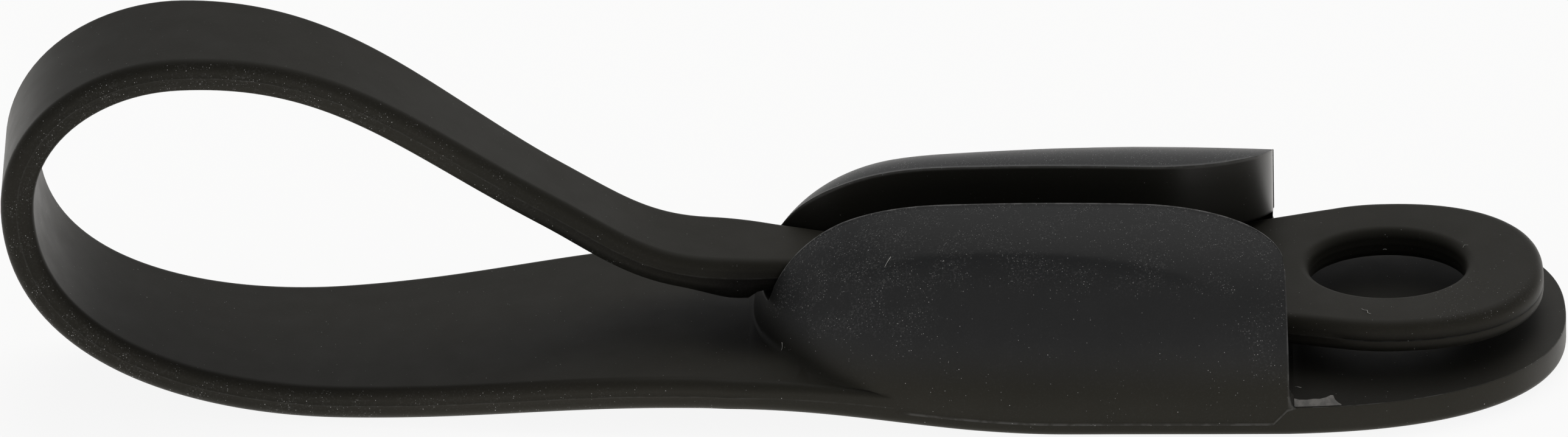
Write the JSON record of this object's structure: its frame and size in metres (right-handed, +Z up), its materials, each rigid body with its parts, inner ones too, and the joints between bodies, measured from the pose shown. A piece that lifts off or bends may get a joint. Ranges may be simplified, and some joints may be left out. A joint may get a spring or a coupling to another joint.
{
  "type": "adhesive cable holder",
  "caption": "Soft black moulded cable holder: a stick-on base plate with a slotted hood, and a tapering strap that loops round cables and ends in a finger ring.",
  "frame": {"origin": "on the adhesive face, below the plate's widest place, which is the open end of the hood", "axes": "+X along the holder from the loop towards the ring, +Z up from the adhesive face"},
  "size_m": [0.0988, 0.0288, 0.0238],
  "materials": {
    "silicone": "matte black silicone with a soft sheen and a little dust",
    "foam": "pale double-sided adhesive foam"
  },
  "bodies": {
    "root": {"holder_body": "silicone", "adhesive_pad": "foam"}
  },
  "joints": []
}
